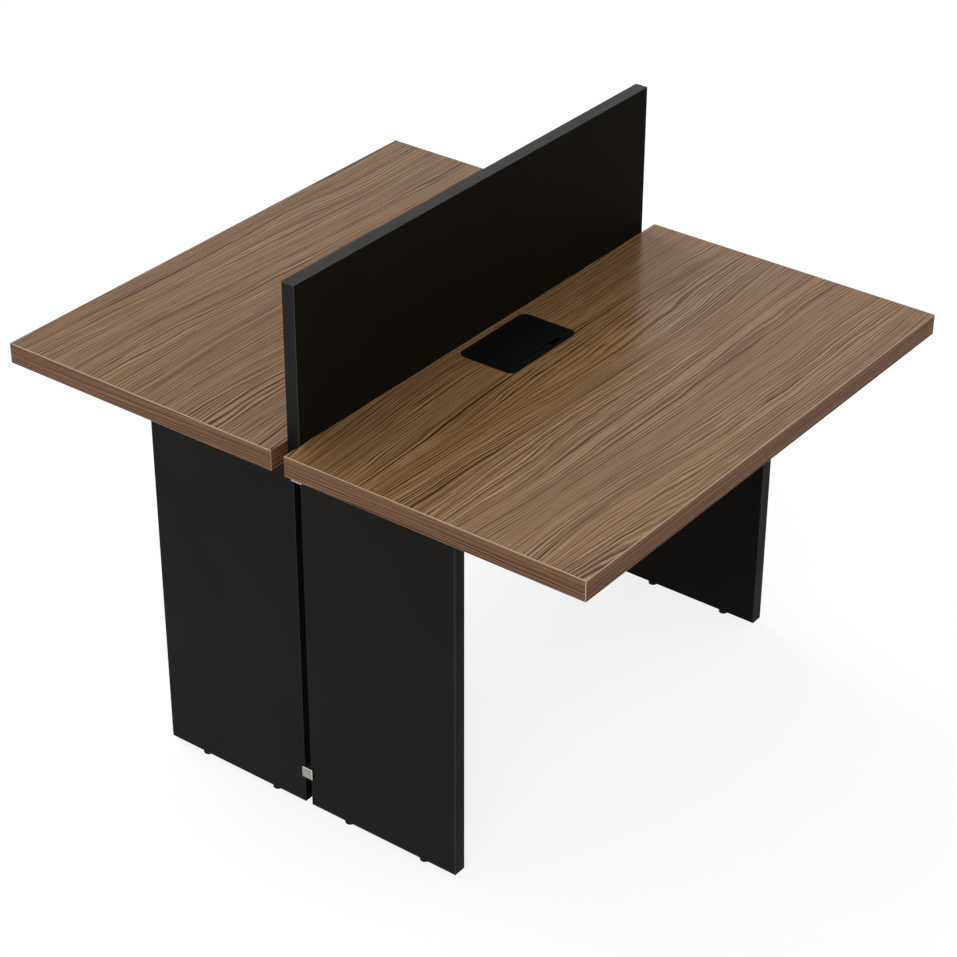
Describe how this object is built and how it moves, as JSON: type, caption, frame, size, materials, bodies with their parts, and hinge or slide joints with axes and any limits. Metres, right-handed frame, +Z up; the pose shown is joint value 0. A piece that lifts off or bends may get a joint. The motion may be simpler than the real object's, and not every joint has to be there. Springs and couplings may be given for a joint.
{
  "type": "benching desk for two",
  "caption": "Face-to-face bench desk: walnut-look worktops on black panel legs with a standing divider board, lidded cable ports and screw-out levelling feet.",
  "frame": {"origin": "on the floor under the middle of the desk", "axes": "+X along the divider to the near person's right, +Y from the near worktop to the far worktop, +Z up"},
  "size_m": [1.05, 1.2, 1.026],
  "materials": {
    "walnut_laminate": "satin walnut-grain laminate",
    "walnut_edge": "satin walnut-grain edge band",
    "black_laminate": "fine-textured matt black laminate",
    "black_edge": "matt black edge band",
    "black_plastic": "moulded, lightly textured",
    "clip_metal": "satin",
    "zinc_steel": "bright zinc plate"
  },
  "bodies": {
    "desk": {"near_worktop_board": "walnut_laminate", "near_worktop_front_band": "walnut_edge", "near_worktop_left_band": "walnut_edge", "near_worktop_right_band": "walnut_edge", "near_port_frame": "black_plastic", "near_left_leg_panel": "black_laminate", "near_left_leg_band": "black_edge", "near_left_leg_bracket": "zinc_steel", "near_left_front_foot_nut": "zinc_steel", "near_left_rear_foot_nut": "zinc_steel", "near_right_leg_panel": "black_laminate", "near_right_leg_band": "black_edge", "near_right_leg_bracket": "zinc_steel", "near_right_front_foot_nut": "zinc_steel", "near_right_rear_foot_nut": "zinc_steel", "near_modesty_panel": "black_laminate", "far_worktop_board": "walnut_laminate", "far_worktop_front_band": "walnut_edge", "far_worktop_left_band": "walnut_edge", "far_worktop_right_band": "walnut_edge", "far_port_frame": "black_plastic", "far_left_leg_panel": "black_laminate", "far_left_leg_band": "black_edge", "far_left_leg_bracket": "zinc_steel", "far_left_front_foot_nut": "zinc_steel", "far_left_rear_foot_nut": "zinc_steel", "far_right_leg_panel": "black_laminate", "far_right_leg_band": "black_edge", "far_right_leg_bracket": "zinc_steel", "far_right_front_foot_nut": "zinc_steel", "far_right_rear_foot_nut": "zinc_steel", "far_modesty_panel": "black_laminate", "divider_board": "black_laminate", "divider_top_band": "black_edge", "divider_left_band": "black_edge", "divider_right_band": "black_edge", "left_lower_clip": "clip_metal", "left_upper_clip": "clip_metal", "right_lower_clip": "clip_metal", "right_upper_clip": "clip_metal", "left_bridging_plate": "zinc_steel", "right_bridging_plate": "zinc_steel"},
    "near_lid": {"near_port_lid": "black_plastic"},
    "far_lid": {"far_port_lid": "black_plastic"},
    "near_left_front_pad": {"near_left_front_foot_pad": "black_plastic"},
    "near_left_front_stud": {"near_left_front_foot_stud": "zinc_steel"},
    "near_left_rear_pad": {"near_left_rear_foot_pad": "black_plastic"},
    "near_left_rear_stud": {"near_left_rear_foot_stud": "zinc_steel"},
    "near_right_front_pad": {"near_right_front_foot_pad": "black_plastic"},
    "near_right_front_stud": {"near_right_front_foot_stud": "zinc_steel"},
    "near_right_rear_pad": {"near_right_rear_foot_pad": "black_plastic"},
    "near_right_rear_stud": {"near_right_rear_foot_stud": "zinc_steel"},
    "far_left_front_pad": {"far_left_front_foot_pad": "black_plastic"},
    "far_left_front_stud": {"far_left_front_foot_stud": "zinc_steel"},
    "far_left_rear_pad": {"far_left_rear_foot_pad": "black_plastic"},
    "far_left_rear_stud": {"far_left_rear_foot_stud": "zinc_steel"},
    "far_right_front_pad": {"far_right_front_foot_pad": "black_plastic"},
    "far_right_front_stud": {"far_right_front_foot_stud": "zinc_steel"},
    "far_right_rear_pad": {"far_right_rear_foot_pad": "black_plastic"},
    "far_right_rear_stud": {"far_right_rear_foot_stud": "zinc_steel"}
  },
  "joints": [
    {"name": "near_lid_hinge", "type": "hinge", "parent": "desk", "child": "near_lid", "pos_m": [0, -0.041, 0.7395], "axis": [-1, 0, 0], "range_deg": [0, 95]},
    {"name": "far_lid_hinge", "type": "hinge", "parent": "desk", "child": "far_lid", "pos_m": [0, 0.041, 0.7395], "axis": [1, 0, 0], "range_deg": [0, 95]},
    {"name": "near_left_front_foot_travel", "type": "slide", "parent": "desk", "child": "near_left_front_pad", "axis": [0, 0, 1], "range_m": [-0.012, 0]},
    {"name": "near_left_front_stud_turn", "type": "hinge", "parent": "near_left_front_pad", "child": "near_left_front_stud", "pos_m": [-0.4675, -0.246, 0.01], "axis": [0, 0, 1], "range_deg": [-3600, 0]},
    {"name": "near_left_rear_foot_travel", "type": "slide", "parent": "desk", "child": "near_left_rear_pad", "axis": [0, 0, 1], "range_m": [-0.012, 0]},
    {"name": "near_left_rear_stud_turn", "type": "hinge", "parent": "near_left_rear_pad", "child": "near_left_rear_stud", "pos_m": [-0.4675, -0.082, 0.01], "axis": [0, 0, 1], "range_deg": [-3600, 0]},
    {"name": "near_right_front_foot_travel", "type": "slide", "parent": "desk", "child": "near_right_front_pad", "axis": [0, 0, 1], "range_m": [-0.012, 0]},
    {"name": "near_right_front_stud_turn", "type": "hinge", "parent": "near_right_front_pad", "child": "near_right_front_stud", "pos_m": [0.4675, -0.246, 0.01], "axis": [0, 0, 1], "range_deg": [-3600, 0]},
    {"name": "near_right_rear_foot_travel", "type": "slide", "parent": "desk", "child": "near_right_rear_pad", "axis": [0, 0, 1], "range_m": [-0.012, 0]},
    {"name": "near_right_rear_stud_turn", "type": "hinge", "parent": "near_right_rear_pad", "child": "near_right_rear_stud", "pos_m": [0.4675, -0.082, 0.01], "axis": [0, 0, 1], "range_deg": [-3600, 0]},
    {"name": "far_left_front_foot_travel", "type": "slide", "parent": "desk", "child": "far_left_front_pad", "axis": [0, 0, 1], "range_m": [-0.012, 0]},
    {"name": "far_left_front_stud_turn", "type": "hinge", "parent": "far_left_front_pad", "child": "far_left_front_stud", "pos_m": [0.4675, 0.246, 0.01], "axis": [0, 0, 1], "range_deg": [-3600, 0]},
    {"name": "far_left_rear_foot_travel", "type": "slide", "parent": "desk", "child": "far_left_rear_pad", "axis": [0, 0, 1], "range_m": [-0.012, 0]},
    {"name": "far_left_rear_stud_turn", "type": "hinge", "parent": "far_left_rear_pad", "child": "far_left_rear_stud", "pos_m": [0.4675, 0.082, 0.01], "axis": [0, 0, 1], "range_deg": [-3600, 0]},
    {"name": "far_right_front_foot_travel", "type": "slide", "parent": "desk", "child": "far_right_front_pad", "axis": [0, 0, 1], "range_m": [-0.012, 0]},
    {"name": "far_right_front_stud_turn", "type": "hinge", "parent": "far_right_front_pad", "child": "far_right_front_stud", "pos_m": [-0.4675, 0.246, 0.01], "axis": [0, 0, 1], "range_deg": [-3600, 0]},
    {"name": "far_right_rear_foot_travel", "type": "slide", "parent": "desk", "child": "far_right_rear_pad", "axis": [0, 0, 1], "range_m": [-0.012, 0]},
    {"name": "far_right_rear_stud_turn", "type": "hinge", "parent": "far_right_rear_pad", "child": "far_right_rear_stud", "pos_m": [-0.4675, 0.082, 0.01], "axis": [0, 0, 1], "range_deg": [-3600, 0]}
  ],
  "couplings": [
    {"joint": "near_left_front_stud_turn", "follows": "near_left_front_foot_travel", "rad_per_m": 5026.5},
    {"joint": "near_left_rear_stud_turn", "follows": "near_left_rear_foot_travel", "rad_per_m": 5026.5},
    {"joint": "near_right_front_stud_turn", "follows": "near_right_front_foot_travel", "rad_per_m": 5026.5},
    {"joint": "near_right_rear_stud_turn", "follows": "near_right_rear_foot_travel", "rad_per_m": 5026.5},
    {"joint": "far_left_front_stud_turn", "follows": "far_left_front_foot_travel", "rad_per_m": 5026.5},
    {"joint": "far_left_rear_stud_turn", "follows": "far_left_rear_foot_travel", "rad_per_m": 5026.5},
    {"joint": "far_right_front_stud_turn", "follows": "far_right_front_foot_travel", "rad_per_m": 5026.5},
    {"joint": "far_right_rear_stud_turn", "follows": "far_right_rear_foot_travel", "rad_per_m": 5026.5}
  ]
}
